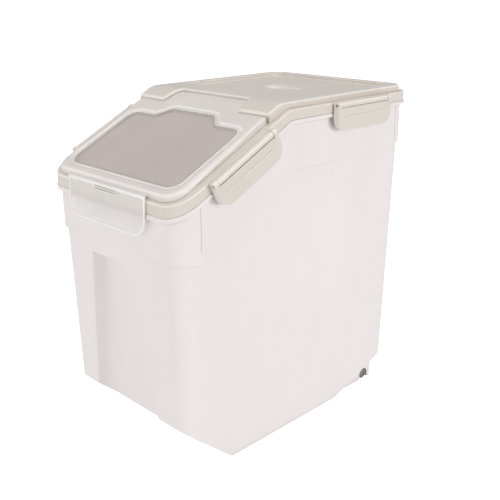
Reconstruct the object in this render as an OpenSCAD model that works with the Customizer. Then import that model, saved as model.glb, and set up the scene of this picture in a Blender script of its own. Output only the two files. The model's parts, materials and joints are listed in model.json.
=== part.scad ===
// Storage bin for rice and dry food: a tapered tub with a sloped front,
// a latched lid that lifts off, and a clear flap over the filling mouth.
// Millimetres. X runs across the bin, the front faces -Y, and Z is up.
// The origin is on the floor, in the middle of the bin's footprint.

/* [Lid] */
// Width of the lid across its skirt
lid_w = 270; // [262:1:280]
// Depth of the lid from front to back
lid_d = 449.4; // [440:0.2:460]
// Radius of the lid's corners seen from above
lid_r = 31; // [26:1:36]
// Height of the skirt's lower edge at the front
rim_z_front = 353.8; // [350:0.1:358]
// Height of the skirt's lower edge at the back
rim_z_rear = 446.5; // [443:0.1:450]
// Slope of the front half of the lid in degrees
slope = 26.2; // [25:0.1:27.5]
// Radius of the lower edge where the slope meets the flat back
bend_r = 25; // [15:1:35]
// Wall thickness of the lid
lid_wall = 2.2; // [1.8:0.1:2.6]
// Height of the skirt, measured square to the rim
skirt_h = 13.1; // [12.5:0.1:14]

/* [Raised back] */
// Half width of the raised back at its foot
pad_x = 127.8; // [126:0.1:129]
// Place of the raised back's rear wall
pad_rear = 217; // [214:0.5:219]
// Height of the raised back above the rim on the flat
pad_h = 22; // [21:0.1:23]
// Height of the two lugs above the rim on the slope
lug_h = 25.5; // [24.5:0.1:27]
// Distance of the lugs' front faces up the slope
lug_s = 184.5; // [183:0.1:187]
// Half width of the gap between the lugs at their front
lug_gap_front = 74; // [70:0.5:78]
// Half width of that gap at the step behind the flap
lug_gap_rear = 67; // [64:0.5:69]
// Depth of the panel sunk into the raised back
panel_depth = 5.4; // [4:0.1:6]

/* [Flap] */
// Half width of the flap
flap_x = 124.2; // [120:0.1:126]
// Front edge of the flap, measured up the slope
flap_s = 12; // [10:0.5:14]
// Height of the flap's border above the rim
flap_h = 21.6; // [20.5:0.1:22]
// Wall thickness of the flap
flap_wall = 2; // [1.5:0.1:2.2]
// Half width of the sunk window
window_x = 108; // [100:0.5:109]
// Depth of the sunk window
window_depth = 6.3; // [5:0.1:6.4]
// Radius of the flap's hinge barrel
flap_barrel_r = 3; // [2.6:0.1:3.2]
// Radius of the flap's hinge pins
flap_pin_r = 1.4; // [1.2:0.1:1.6]

/* [Front tab] */
// Half width of the tab that holds the flap shut
tab_x = 79.2; // [70:0.5:85]
// Lower edge of the tab
tab_z = 323.1; // [318:0.5:330]
// Thickness of the tab
tab_t = 1.7; // [1.4:0.1:1.9]

/* [Latches] */
// Length of each side latch
latch_l = 114.3; // [105:0.5:120]
// Length of the latch plate below its hinge axis
latch_drop = 33.5; // [30:0.5:36]
// Wall thickness of the latch
latch_wall = 2; // [1.6:0.1:2.4]
// Radius of the latch's hinge ears
ear_r = 5.2; // [5:0.1:5.4]
// Length of each hinge ear
ear_l = 6.5; // [5:0.5:12]
// Radius of the latch pins
latch_pin_r = 1.8; // [1.5:0.1:2.2]
// Place of the rear latches along the bin
latch_rear_y = 99.7; // [95:0.5:105]
// Place of the front latches up the slope
latch_front_s = 115.2; // [112:0.5:118]

/* [Tub] */
// Half width of the tub at the floor
tub_x_low = 122.6; // [120:0.1:124]
// Half width of the tub walls carried up to the lid
tub_x_high = 130.6; // [130:0.1:131]
// Wall thickness of the tub
tub_wall = 2.5; // [2:0.1:3]
// Corner radius of the tub seen from above
tub_r = 27; // [24:1:30]
// Half width of the flange that the lid stands on
lip_x = 136; // [135.5:0.1:136.2]
// Depth of the recess in the front wall
recess_depth = 27; // [20:1:30]
// Top of the recess in the front wall
recess_top = 273.6; // [260:1:280]

/* [Wheels] */
// Radius of the wheels
wheel_r = 8.1; // [7.5:0.1:8.4]
// Width of the wheels
wheel_w = 13; // [10:0.5:14]
// Place of the wheel axles along the bin
wheel_y = 166.9; // [160:0.5:170]
// Radius of the wheel axles
axle_r = 2.5; // [2:0.1:3]

/* [Hidden] */

white_milk = [0.93, 0.92, 0.91];
warm_grey = [0.80, 0.77, 0.74];
clear_grey = [0.80, 0.80, 0.79, 0.55];
seal_grey = [0.86, 0.86, 0.85];
steel = [0.70, 0.71, 0.72];

eps = 0.01;            // overlap of joined shapes
fit_tight = 0.02;      // radial clearance of a pin in the part that holds it
fit_run = 0.05;        // radial clearance of a pin in the part that turns
seat_gap = 0.3;        // gap between two parts that rest on each other
arc_step = 7.5;        // degrees between the points of a rounded corner
round_fn = 64;         // sides of round features
soft_fn = 32;          // sides of the corners of tapered walls
beyond = 300;          // larger than any half width, for cutting shapes
past = 1;              // how far a short cutting shape runs past a face
sky = 520;             // height above the whole bin
slope_start = -60;     // start of the roof lines, in front of the lid

side_x = lid_w / 2;
front_y = -lid_d / 2;
rear_y = -front_y;
deck_top = skirt_h;
deck_low = skirt_h - lid_wall;

// Flange and rim of the tub, which the lid stands on and fits over
lip_y = rear_y + 1.3;
lip_r = lid_r + 1;
lip_t = 5.4;
rim_up = 8;
rim_x_out = 130.4;
rim_x_in = 127.9;
rim_y_out = 220.1;
rim_y_in = 217.6;
rim_r = 27.5;
gasket_low = rim_up + seat_gap;

// Latch hinge line: distance from the middle, and height above the rim
latch_axis_x = 141.3;
latch_axis_h = 9.6;
latch_out = 4.6;                          // outer face beyond the hinge line
latch_gap = 0.4;                          // between the latch and the flange
latch_back = lip_x + latch_gap - latch_axis_x;
latch_slot_z = -5.6;                      // top edge of the plate between the ears

// Flap hinge line, in the slope's own directions
hinge_s = 209.3;
hinge_h = 16.4;

// The tab's outer face at its top and bottom, and its hinge line [y, z]
tab_face_top = -227.3;
tab_face_low = -229.8;
tab_bead_r = 1.1;
tab_hinge = [tab_face_top + tab_bead_r, 373.6];
tab_slot_x = 23;
tab_slot_z = [366.6, 371];
tab_corner = 22.5;

// The footprint runs from the tab's foot to the rear flange
shift_y = (-tab_face_low - lip_y) / 2;

// ---------- outline helpers ----------
function unit(v) = v / norm(v);
function turn_of(d) = d > 180 ? d - 360 : d < -180 ? d + 360 : d;
function xy(p) = [p[0], p[1]];

// One corner p between neighbours a and b, rounded to radius r
function corner(a, p, b, r) =
    r <= 0 ? [p] :
    let (
        u = unit(a - p),
        v = unit(b - p),
        half = acos(max(-1, min(1, u * v))) / 2,
        c = p + unit(u + v) * r / sin(half),
        s0 = p + u * r / tan(half) - c,
        s1 = p + v * r / tan(half) - c,
        a0 = atan2(s0[1], s0[0]),
        sweep = turn_of(atan2(s1[1], s1[0]) - a0),
        steps = max(1, ceil(abs(sweep) / arc_step))
    )
    [for (i = [0:steps]) c + r * [cos(a0 + sweep * i / steps), sin(a0 + sweep * i / steps)]];

// A closed outline whose points are [x, y, corner radius]
function rounded(pts) =
    let (n = len(pts))
    [for (i = [0:n - 1])
        each corner(xy(pts[(i + n - 1) % n]), xy(pts[i]), xy(pts[(i + 1) % n]), pts[i][2])];

// The right half of an outline, completed by its mirror image
function both_sides(half) =
    concat(half, [for (i = [len(half) - 1:-1:0]) [-half[i][0], half[i][1], half[i][2]]]);

function box_outline(x, y0, y1, r) = rounded(both_sides([[x, y0, r], [x, y1, r]]));

// ---------- the lid's side view: a slope, a bend and a flat ----------
// Points are [y, z]; heights are measured square to the rim's lower edge
function on_slope(s, h) = [
    front_y + s * cos(slope) - h * sin(slope),
    rim_z_front + s * sin(slope) + h * cos(slope)
];

// Corner where a slope line at height hs meets a flat line at height hf
function knee(hs, hf) =
    let (
        z = rim_z_rear + hf,
        s = (z - rim_z_front - hs * cos(slope)) / sin(slope)
    )
    on_slope(s, hs);

// Roof line from distance s0 on the slope to place y1 on the flat
function roof(hs, hf, r, s0, y1) =
    let (
        a = on_slope(s0, hs),
        k = knee(hs, hf),
        b = [y1, rim_z_rear + hf]
    )
    concat([a], corner(a, k, b, r), [b]);

function backwards(list) = [for (i = [len(list) - 1:-1:0]) list[i]];

// Extrudes a side view [y, z] across the bin, from x0 to x1; the
// latches use it in their own directions
module across(x0, x1) {
    translate([x0, 0, 0])
        rotate([90, 0, 90])
            linear_extrude(height = x1 - x0)
                children();
}

// Extrudes a front view [x, z] through the bin, from y0 to y1
module through(y0, y1) {
    translate([0, y1, 0])
        rotate([90, 0, 0])
            linear_extrude(height = y1 - y0)
                children();
}

// Band between two heights that follows the rim
module band(h0, h1) {
    across(-beyond, beyond)
        polygon(concat(
            roof(h0, h0, bend_r + h0, slope_start, beyond),
            backwards(roof(h1, h1, bend_r + h1, slope_start, beyond))
        ));
}

// Everything below the roof line at height h
module below(h) {
    across(-beyond, beyond)
        polygon(concat(
            roof(h, h, bend_r + h, slope_start, beyond),
            [[beyond, -past], [-beyond, -past]]
        ));
}

// Upright prism over a rounded footprint
module plan(x, y0, y1, r, z0 = 0, z1 = sky) {
    translate([0, 0, z0])
        linear_extrude(height = z1 - z0)
            polygon(box_outline(x, y0, y1, r));
}

// Moves a shape into the slope's own directions: x, s along, h square to it
module to_slope() {
    translate([0, front_y, rim_z_front])
        rotate([slope, 0, 0])
            children();
}

module slab(outline, h0, h1) {
    translate([0, 0, h0])
        linear_extrude(height = h1 - h0)
            polygon(outline);
}

module place() {
    translate([0, shift_y, 0]) children();
}

// A round bar along X
module bar_x(x0, x1, r) {
    translate([x0, 0, 0])
        rotate([0, 90, 0])
            cylinder(h = x1 - x0, r = r, $fn = round_fn);
}

// A round bar along Y
module bar_y(y0, y1, r) {
    translate([0, y1, 0])
        rotate([90, 0, 0])
            cylinder(h = y1 - y0, r = r, $fn = round_fn);
}

module mirrored(side) {
    mirror([side < 0 ? 1 : 0, 0, 0]) children();
}

// ---------- tub ----------
tub_top = 470;                 // height that the tapered walls are drawn up to
tub_front = [-212.5, -220.6];  // front wall at the floor and at tub_top
tub_rear = [212.3, 219];       // rear wall at the floor and at tub_top
foot_front = [[-132.3, 0], [-216, 72]];
foot_rear = [[81.6, 0], [213.3, 45]];
collar_x = 131.4;
collar_r = tub_r + 2;
collar_y = 220.7;
collar_z_front = 294.3;
collar_z_rear = 384.3;
collar_end_front = -187.5;
collar_end_rear = 191;
side_panel_x = 130.2;
side_panel_drop = 65.5;        // from the rim down to the side panel's lower edge
side_panel_s = 41;             // its front end, up the slope
recess_floor = -216 + recess_depth;
recess_x_top = 52.7;
recess_x_low = 71.7;
recess_low = 30;
recess_draft = 9;              // sideways run of the recess walls
recess_fillet = 20;
recess_flare = 3;              // its mouth, wider in front of the wall
recess_mouth = -240;
foot_reach = 60;               // the foot cuts' reach past their lines
throat = 4;                    // depth of the rim's bore below the flange
housing_x = [86, 115];
housing_y = [108, 183.6];
housing_foot = 1;
housing_hollow = 7;            // height of the hollow in front of the wheel
wheel_side_gap = 0.8;
pocket_x = housing_x[1] - wheel_w - 2 * wheel_side_gap;
pocket_r = wheel_r + 1.4;

// Block that tapers from the floor to the lid, with its walls moved in by t
module tapered_block(t, z0, z1) {
    hull()
        for (z = [z0, z1], side = [-1, 1], end = [0, 1]) {
            f = z / tub_top;
            x = tub_x_low + (tub_x_high - tub_x_low) * f - tub_r;
            y_front = tub_front[0] + (tub_front[1] - tub_front[0]) * f + tub_r;
            y_rear = tub_rear[0] + (tub_rear[1] - tub_rear[0]) * f - tub_r;
            translate([side * x, end == 0 ? y_front : y_rear, z])
                cylinder(h = eps, r = tub_r - t, $fn = soft_fn);
        }
}

// Space below a sloping end of the floor, moved inwards by t
module foot_cut(line, t, end) {
    d = unit(line[1] - line[0]);
    n = [-end * d[1], d[0] * end];
    p = line[0] + n * t - foot_reach * d;
    q = line[1] + n * t + foot_reach * d;
    across(-beyond, beyond)
        polygon([p, q, [end * beyond, q[1]], [end * beyond, p[1]]]);
}

module foot_cuts(t) {
    foot_cut(foot_front, t, -1);
    foot_cut(foot_rear, t, 1);
}

// Recess in the front wall, grown by t into the tub
module front_recess(t) {
    hull()
        for (level = [[recess_low, recess_x_low], [recess_top + t, recess_x_top]])
            translate([0, 0, level[0]])
                linear_extrude(height = eps)
                    polygon(rounded(both_sides([
                        [level[1] + t + recess_flare, recess_mouth, 0],
                        [level[1] + t, tub_front[1] + recess_flare, 0],
                        [level[1] + t - recess_draft, recess_floor + t, recess_fillet]
                    ])));
}

// Bands around the front and rear corners, with their walls moved in by t
module collars(t) {
    r = collar_r - t;
    intersection() {
        plan(collar_x - t, -collar_y + t, collar_y - t, r, collar_z_front + t, tub_top);
        translate([-beyond, -beyond, 0])
            cube([2 * beyond, beyond + collar_end_front - t, tub_top]);
    }
    intersection() {
        plan(collar_x - t, -collar_y + t, collar_y - t, r, collar_z_rear + t, tub_top);
        translate([-beyond, collar_end_rear + t, 0])
            cube([2 * beyond, beyond, tub_top]);
    }
}

// Upper part of the side walls, slightly proud, whose lower edge follows the rim
module side_panels() {
    end = collar_end_rear + past;
    edge = roof(0, 0, bend_r, side_panel_s, end);
    intersection() {
        across(-side_panel_x, side_panel_x)
            polygon(concat(
                [for (p = edge) [p[0], p[1] - side_panel_drop]],
                [[end, tub_top], [edge[0][0], tub_top]]
            ));
        plan(side_panel_x, -beyond, beyond, 0);
    }
}

// Block under each rear corner that carries a wheel
module wheel_housing(side) {
    mirrored(side)
        difference() {
            intersection() {
                translate([housing_x[0], housing_y[0], housing_foot])
                    cube([
                        housing_x[1] - housing_x[0],
                        housing_y[1] - housing_y[0],
                        foot_rear[1][1]
                    ]);
                foot_cut([foot_rear[0] + [0, past], foot_rear[1] + [0, past]], 0, 1);
            }
            translate([housing_x[0] + tub_wall, housing_y[0] + tub_wall, 0])
                cube([
                    housing_x[1] - housing_x[0] - 2 * tub_wall,
                    wheel_y - pocket_r - housing_y[0] - 2 * tub_wall,
                    housing_hollow
                ]);
        }
}

module wheel_pocket(side) {
    mirrored(side)
        translate([0, wheel_y, wheel_r]) {
            bar_x(pocket_x, housing_x[1] + past, pocket_r);
            translate([pocket_x, -pocket_r, -wheel_r])
                cube([housing_x[1] - pocket_x + past, 2 * pocket_r, wheel_r]);
            bar_x(housing_x[0] - past, pocket_x + past, axle_r + fit_tight);
        }
}

module tub() {
    color(white_milk)
        place()
            difference() {
                union() {
                    difference() {
                        intersection() {
                            union() {
                                tapered_block(0, 0, tub_top);
                                collars(0);
                                side_panels();
                            }
                            below(-lip_t + eps);
                        }
                        foot_cuts(0);
                        front_recess(0);
                    }
                    intersection() {
                        plan(lip_x, -lip_y, lip_y, lip_r);
                        band(-lip_t, -seat_gap);
                    }
                    intersection() {
                        plan(rim_x_out, -rim_y_out, rim_y_out, rim_r);
                        band(-lip_t, rim_up);
                    }
                    wheel_housing(-1);
                    wheel_housing(1);
                }
                difference() {
                    union() {
                        tapered_block(tub_wall, tub_wall, tub_top);
                        collars(tub_wall);
                        intersection() {
                            plan(rim_x_in, -rim_y_in, rim_y_in, rim_r - tub_wall);
                            band(-lip_t - throat, rim_up + past);
                        }
                    }
                    foot_cuts(tub_wall);
                    front_recess(tub_wall);
                }
                wheel_pocket(-1);
                wheel_pocket(1);
            }
}

// ---------- lid frame ----------
mouth_x = 111.4;
mouth_s = [26.8, 173.6];
mouth_r = 22;
upstand_t = 2.2;
upstand_h = 17.5;
strip_y = -39.8;                 // front face of the step behind the flap
pad_r = 24;
pad_bend_r = 40;
panel_x = 111;
panel_y = [-2, 201.6];
panel_r = 13.5;
panel_z = rim_z_rear + pad_h - panel_depth;
dish = [33.3, 23.4];             // half sizes of the hand dish
dish_y = 94.5;
dish_depth = 4.5;
slot_x = 19.8;                   // finger slot inside the dish
slot_y = [92, 100.5];
slot_depth = 9;
slot_r = 2;
dish_fn = 48;                    // sides of the dish
lug_gap_r = 7;                   // inner corners of the gap between the lugs
lug_clear = 60;                  // reach of cutting shapes around the lugs
pad_foot = 20;                   // reach of the raised back's block below the deck
web_top = 3.5;                   // latch hinge web, above the hinge line
web_low = -1.5;
catch_side_gap = 1.5;
catch_x = tab_slot_x - catch_side_gap;
catch_z = [364.5, 366.9, 370.4]; // foot, step and top of the catch bar
catch_step = 0.5;
barrel_r = 4.5;
barrel_half = latch_l / 2 - ear_l - latch_gap;
rib_t = 1.6;                     // ribs that hold the lid's seal
rib_drop = 4;                    // their reach beside the tub's rim

// Footprint of the gap between the lugs, with its sides moved in by t
function lug_gap(t) =
    let (face_y = on_slope(lug_s, flap_h)[0])
    rounded(both_sides([
        [lug_gap_front - t, face_y - lug_clear, 0],
        [lug_gap_front - t, face_y, 0],
        [lug_gap_rear - t, strip_y - t, lug_gap_r]
    ]));

module lug_gap_prism(t) {
    translate([0, 0, rim_z_rear - lug_clear])
        linear_extrude(height = 2 * lug_clear)
            polygon(lug_gap(t));
}

// Outside of the raised back and its lugs, with its faces moved in by t
module pad_block(t) {
    intersection() {
        plan(pad_x - t, -beyond, pad_rear - t, pad_r - t);
        across(-beyond, beyond)
            polygon(concat(
                roof(lug_h - t, pad_h - t, pad_bend_r - t, lug_s + t, beyond),
                [[beyond, rim_z_rear - pad_foot]],
                [on_slope(lug_s + t, deck_low - pad_foot)]
            ));
    }
}

function ellipse(rx, ry, cy, n) =
    [for (i = [0:n - 1]) [rx * cos(360 * i / n), cy + ry * sin(360 * i / n)]];

// Panel, dish and finger slot, grown outwards by t and lowered by t
module pad_sinks(t) {
    top = t > 0 ? rim_z_rear + pad_h - lid_wall + eps : sky;
    plan(panel_x + t, panel_y[0] - t, panel_y[1] + t, panel_r + t, panel_z - t, top);
    translate([0, 0, panel_z - dish_depth - t])
        linear_extrude(height = dish_depth + past)
            polygon(ellipse(dish[0] + t, dish[1] + t, dish_y, dish_fn));
    plan(
        slot_x + t,
        slot_y[0] - t,
        slot_y[1] + t,
        slot_r + t,
        panel_z - slot_depth - t,
        panel_z
    );
}

module raised_back() {
    difference() {
        union() {
            difference() {
                pad_block(0);
                lug_gap_prism(0);
                difference() {
                    pad_block(lid_wall);
                    lug_gap_prism(-lid_wall);
                }
                below(deck_low);
            }
            pad_sinks(lid_wall);
        }
        pad_sinks(0);
    }
}

// Barrel along a latch's hinge line, joined to the skirt by a web
module latch_barrel() {
    bar_y(-barrel_half, barrel_half, barrel_r);
    translate([-latch_axis_x + side_x - lid_wall + eps, -barrel_half, web_low])
        cube([latch_axis_x - side_x + lid_wall, 2 * barrel_half, web_top - web_low]);
}

// Moves a latch part to one of the four latch places
module at_latch(side, row) {
    mirrored(side)
        if (row == "rear")
            translate([latch_axis_x, latch_rear_y, rim_z_rear + latch_axis_h])
                children();
        else
            to_slope()
                translate([latch_axis_x, latch_front_s, latch_axis_h])
                    children();
}

// Bar that the tab's slot hooks over, sloping on its underside
module catch_bar() {
    across(-catch_x, catch_x)
        polygon([
            [front_y + eps, catch_z[0]],
            [front_y - catch_step, catch_z[1]],
            [tab_face_top, catch_z[2]],
            [front_y + lid_wall, catch_z[2]],
            [front_y + lid_wall, catch_z[1] + catch_step]
        ]);
}

// Ribs under the deck that hold the lid's seal beside the tub's rim
module seal_ribs() {
    intersection() {
        difference() {
            plan(gasket_x_in, -gasket_y_in, gasket_y_in, gasket_r_in);
            plan(
                gasket_x_in - rib_t,
                -gasket_y_in + rib_t,
                gasket_y_in - rib_t,
                gasket_r_in - rib_t
            );
        }
        band(rim_up - rib_drop, deck_low + lid_wall / 4);
    }
}

module lid_frame() {
    color(warm_grey)
        place()
            difference() {
                union() {
                    difference() {
                        intersection() {
                            plan(side_x, front_y, rear_y, lid_r);
                            band(0, deck_top);
                        }
                        intersection() {
                            plan(
                                side_x - lid_wall,
                                front_y + lid_wall,
                                rear_y - lid_wall,
                                lid_r - lid_wall
                            );
                            below(deck_low);
                        }
                        intersection() {
                            plan(
                                pad_x - lid_wall,
                                strip_y + 2 * lid_wall,
                                pad_rear - lid_wall,
                                pad_r - lid_wall
                            );
                            band(0, deck_top + past);
                        }
                        to_slope()
                            slab(mouth_ring(0), 0, beyond);
                    }
                    to_slope()
                        difference() {
                            slab(mouth_ring(upstand_t), deck_low, upstand_h);
                            slab(mouth_ring(0), 0, beyond);
                        }
                    raised_back();
                    seal_ribs();
                    catch_bar();
                    for (side = [-1, 1], row = ["front", "rear"])
                        at_latch(side, row) latch_barrel();
                    for (side = [-1, 1])
                        mirrored(side)
                            flap_pin_boss();
                }
                for (side = [-1, 1], row = ["front", "rear"])
                    at_latch(side, row)
                        bar_y(-latch_l, latch_l, latch_pin_r + fit_tight);
                at_flap_hinge()
                    for (side = [-1, 1])
                        mirrored(side)
                            bar_x(flap_pin_x[0], flap_pin_x[1], flap_pin_r + fit_tight);
            }
}

function mouth_ring(t) = box_outline(mouth_x + t, mouth_s[0] - t, mouth_s[1] + t, mouth_r + t);

// Boss inside each lug that holds a hinge pin of the flap
module flap_pin_boss() {
    at_flap_hinge()
        bar_x(gap_x_hinge, flap_pin_x[1], flap_pin_r + lid_wall);
}

// ---------- seals ----------
gasket_x_in = 126.3;
gasket_x_out = 131.7;
gasket_y_in = 216.5;
gasket_y_out = 221.4;
gasket_r_in = 24;
gasket_r_out = 28;
flap_gasket_t = [0.2, 3.2];      // edges of the flap's seal, outside the mouth

module lid_gasket() {
    color(seal_grey)
        place()
            intersection() {
                difference() {
                    plan(gasket_x_out, -gasket_y_out, gasket_y_out, gasket_r_out);
                    plan(gasket_x_in, -gasket_y_in, gasket_y_in, gasket_r_in);
                }
                band(gasket_low, deck_low);
            }
}

module flap_gasket() {
    color(seal_grey)
        place()
            to_slope()
                difference() {
                    slab(mouth_ring(flap_gasket_t[1]), upstand_h + seat_gap, flap_h - flap_wall);
                    slab(mouth_ring(flap_gasket_t[0]), 0, beyond);
                }
}

// ---------- flap ----------
flap_gap = 1.7;                    // behind the flap's shoulders
flap_side_gap = 1;
flap_foot = deck_top + seat_gap;
flap_rear = lug_s - flap_gap;
flap_r = 23.4;                     // front corners of the flap
shoulder_r = 4;                    // its rear corners
tongue_root_r = 3;                 // inside, where the tongue leaves the flap
tongue_end = 204.7;
tongue_x_front = lug_gap_front - flap_side_gap;
gap_x_hinge = lug_gap_rear + 0.8;  // half width of the lugs' gap at the hinge
tongue_x_rear = gap_x_hinge - flap_side_gap;
tongue_r = 9;                      // clears the lugs' gap when the flap is open
flap_barrel_x = 58;
flap_pin_x = [50, 82];
flap_pin_inset = 0.5;              // of each pin in its bore
window_s = [30.2, 151, 170];       // front edge, shoulder and rear edge
window_neck_x = [60, 42];          // half widths where the rear edge steps back
window_r = [17, 14, 8, 10];        // its corners, from the front to the rear
nose_edge = 0.6;                   // height of the lip's front edge

function flap_outline(t) =
    rounded(both_sides([
        [flap_x - t, flap_s + t, flap_r - t],
        [flap_x - t, flap_rear - t, shoulder_r],
        [tongue_x_front - t, flap_rear - t, t > 0 ? tongue_root_r : 0],
        [tongue_x_rear - t, tongue_end - t, tongue_r - t]
    ]));

function window_outline(t) =
    rounded(both_sides([
        [window_x + t, window_s[0] - t, window_r[0] + t],
        [window_x + t, window_s[1] + t, window_r[1] + t],
        [window_neck_x[0] + t, window_s[1] + t, window_r[2] - t],
        [window_neck_x[1] + t, window_s[2] + t, window_r[3] + t]
    ]));

module at_flap_hinge() {
    to_slope()
        translate([0, hinge_s, hinge_h])
            children();
}

// Lip under the flap's front edge that reaches out over the tab
module flap_nose() {
    top = on_slope(flap_s, flap_h);
    under = tab_hinge[1] + tab_bead_r + seat_gap;
    across(-tab_x, tab_x)
        polygon([
            top,
            [tab_face_top + seat_gap, under + nose_edge],
            [tab_face_top + seat_gap, under],
            [top[0] + flap_wall, under],
            [top[0] + flap_wall, top[1] - flap_wall]
        ]);
}

module flap() {
    color(clear_grey)
        place()
            difference() {
                union() {
                    to_slope()
                        difference() {
                            union() {
                                difference() {
                                    slab(flap_outline(0), flap_foot, flap_h);
                                    slab(flap_outline(flap_wall), 0, flap_h - flap_wall);
                                }
                                slab(
                                    window_outline(flap_wall),
                                    flap_h - window_depth - flap_wall,
                                    flap_h - flap_wall + eps
                                );
                            }
                            slab(window_outline(0), flap_h - window_depth, beyond);
                        }
                    flap_nose();
                    at_flap_hinge() {
                        bar_x(-flap_barrel_x, flap_barrel_x, flap_barrel_r);
                        translate([
                            -flap_barrel_x,
                            tongue_end - past - hinge_s,
                            flap_barrel_r - flap_wall
                        ])
                            cube([
                                2 * flap_barrel_x,
                                hinge_s - tongue_end + past,
                                flap_wall
                            ]);
                    }
                }
                at_flap_hinge()
                    for (side = [-1, 1])
                        mirrored(side)
                            bar_x(flap_pin_x[0], flap_pin_x[1], flap_pin_r + fit_run);
            }
}

module flap_pin(side) {
    color(steel)
        place()
            at_flap_hinge()
                mirrored(side)
                    bar_x(
                        flap_pin_x[0] + flap_pin_inset,
                        flap_pin_x[1] - flap_pin_inset,
                        flap_pin_r
                    );
}

module flap_pin_left() { flap_pin(-1); }
module flap_pin_right() { flap_pin(1); }

// Tab hanging from the flap's front edge, with a slot for the catch bar
module front_tab() {
    color(clear_grey)
        place()
            difference() {
                intersection() {
                    across(-tab_x, tab_x) {
                        polygon([
                            [tab_face_top, tab_hinge[1]],
                            [tab_face_low, tab_z],
                            [tab_face_low + tab_t, tab_z],
                            [tab_face_top + tab_t, tab_hinge[1]]
                        ]);
                        translate(tab_hinge) circle(r = tab_bead_r, $fn = round_fn);
                    }
                    through(-beyond, 0)
                        polygon(rounded([
                            [-tab_x, tub_top, 0],
                            [tab_x, tub_top, 0],
                            [tab_x, tab_z, tab_corner],
                            [-tab_x, tab_z, tab_corner]
                        ]));
                }
                through(-beyond, 0)
                    translate([-tab_slot_x, tab_slot_z[0]])
                        square([2 * tab_slot_x, tab_slot_z[1] - tab_slot_z[0]]);
            }
}

// ---------- latches ----------
latch_corner = 17;
bead_z = -18.9;                  // bead that hooks under the tub's flange
bead_h = 2.4;
rest_half = 46.5;                // half length of the hand rest in the plate
rest_z = -16.2;                  // its lower edge
rest_r = 4;
rest_depth = 0.6;
latch_above = 8;                 // reach of the plate's outlines above the slot
ear_foot = 2;                    // depth of each ear's foot in the plate
bead_inset = 6;                  // from the barrel's ends to the bead's
latch_pin_inset = 1.5;           // from the latch's ends to the pin's

// Side view of the latch plate, grown inwards by t
function latch_face(t) =
    rounded([
        [-latch_l / 2 + t, latch_slot_z + latch_above, 0],
        [-latch_l / 2 + t, -latch_drop + t, latch_corner - t],
        [latch_l / 2 - t, -latch_drop + t, latch_corner - t],
        [latch_l / 2 - t, latch_slot_z + latch_above, 0]
    ]);

// Shallow hand rest sunk into the plate below the slot
function latch_rest() =
    rounded([
        [-rest_half, latch_slot_z + latch_above, 0],
        [-rest_half, rest_z, rest_r],
        [rest_half, rest_z, rest_r],
        [rest_half, latch_slot_z + latch_above, 0]
    ]);

module latch_plate() {
    half = latch_l / 2;
    intersection() {
        difference() {
            across(latch_back, latch_out) polygon(latch_face(0));
            across(latch_back - past, latch_out - latch_wall) polygon(latch_face(latch_wall));
            across(latch_out - rest_depth, latch_out + past) polygon(latch_rest());
        }
        translate([latch_back - past, -half, -latch_drop])
            cube([latch_out - latch_back + 2 * past, latch_l, latch_drop + latch_slot_z]);
    }
}

// Ear at one end of a latch, joined to its plate
module latch_ear(end) {
    y0 = end > 0 ? latch_l / 2 - ear_l : -latch_l / 2;
    bar_y(y0, y0 + ear_l, ear_r);
    translate([latch_back, y0, latch_slot_z - ear_foot])
        cube([latch_out - latch_back, ear_l, ear_foot - latch_slot_z]);
}

module latch_body() {
    bead_half = barrel_half - bead_inset;
    difference() {
        union() {
            latch_plate();
            latch_ear(-1);
            latch_ear(1);
            translate([latch_back, -bead_half, bead_z])
                cube([latch_out - latch_wall - latch_back + eps, 2 * bead_half, bead_h]);
        }
        bar_y(-latch_l / 2 - past, latch_l / 2 + past, latch_pin_r + fit_run);
    }
}

module latch(side, row) {
    color(warm_grey)
        place()
            at_latch(side, row)
                latch_body();
}

module latch_pin(side, row) {
    color(steel)
        place()
            at_latch(side, row)
                bar_y(-latch_l / 2 + latch_pin_inset, latch_l / 2 - latch_pin_inset, latch_pin_r);
}

module latch_front_left() { latch(-1, "front"); }
module latch_front_right() { latch(1, "front"); }
module latch_rear_left() { latch(-1, "rear"); }
module latch_rear_right() { latch(1, "rear"); }
module latch_pin_front_left() { latch_pin(-1, "front"); }
module latch_pin_front_right() { latch_pin(1, "front"); }
module latch_pin_rear_left() { latch_pin(-1, "rear"); }
module latch_pin_rear_right() { latch_pin(1, "rear"); }

// ---------- wheels ----------
wheel_x = pocket_x + wheel_side_gap;
wheel_step = 1;                  // at both edges of the tread
wheel_recess = 2;                // around the axle's head
axle_head_r = 4.2;
axle_head_t = 1.2;
axle_end = wheel_x + wheel_w - 0.6;

module wheel(side) {
    color(warm_grey)
        place()
            mirrored(side)
                translate([0, wheel_y, wheel_r])
                    difference() {
                        union() {
                            bar_x(
                                wheel_x + wheel_step,
                                wheel_x + wheel_w - wheel_step,
                                wheel_r
                            );
                            bar_x(wheel_x, wheel_x + wheel_w, wheel_r - wheel_step);
                        }
                        bar_x(wheel_x - past, wheel_x + wheel_w + past, axle_r + fit_run);
                        bar_x(
                            wheel_x + wheel_w - wheel_recess,
                            wheel_x + wheel_w + past,
                            axle_head_r + past
                        );
                    }
}

module wheel_axle(side) {
    color(steel)
        place()
            mirrored(side)
                translate([0, wheel_y, wheel_r]) {
                    bar_x(housing_x[0] + past, axle_end, axle_r);
                    bar_x(axle_end - axle_head_t, axle_end, axle_head_r);
                }
}

module wheel_left() { wheel(-1); }
module wheel_right() { wheel(1); }
module wheel_axle_left() { wheel_axle(-1); }
module wheel_axle_right() { wheel_axle(1); }

tub();
lid_frame();
lid_gasket();
flap();
flap_gasket();
flap_pin_left();
flap_pin_right();
front_tab();
latch_front_left();
latch_front_right();
latch_rear_left();
latch_rear_right();
latch_pin_front_left();
latch_pin_front_right();
latch_pin_rear_left();
latch_pin_rear_right();
wheel_left();
wheel_right();
wheel_axle_left();
wheel_axle_right();
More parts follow.
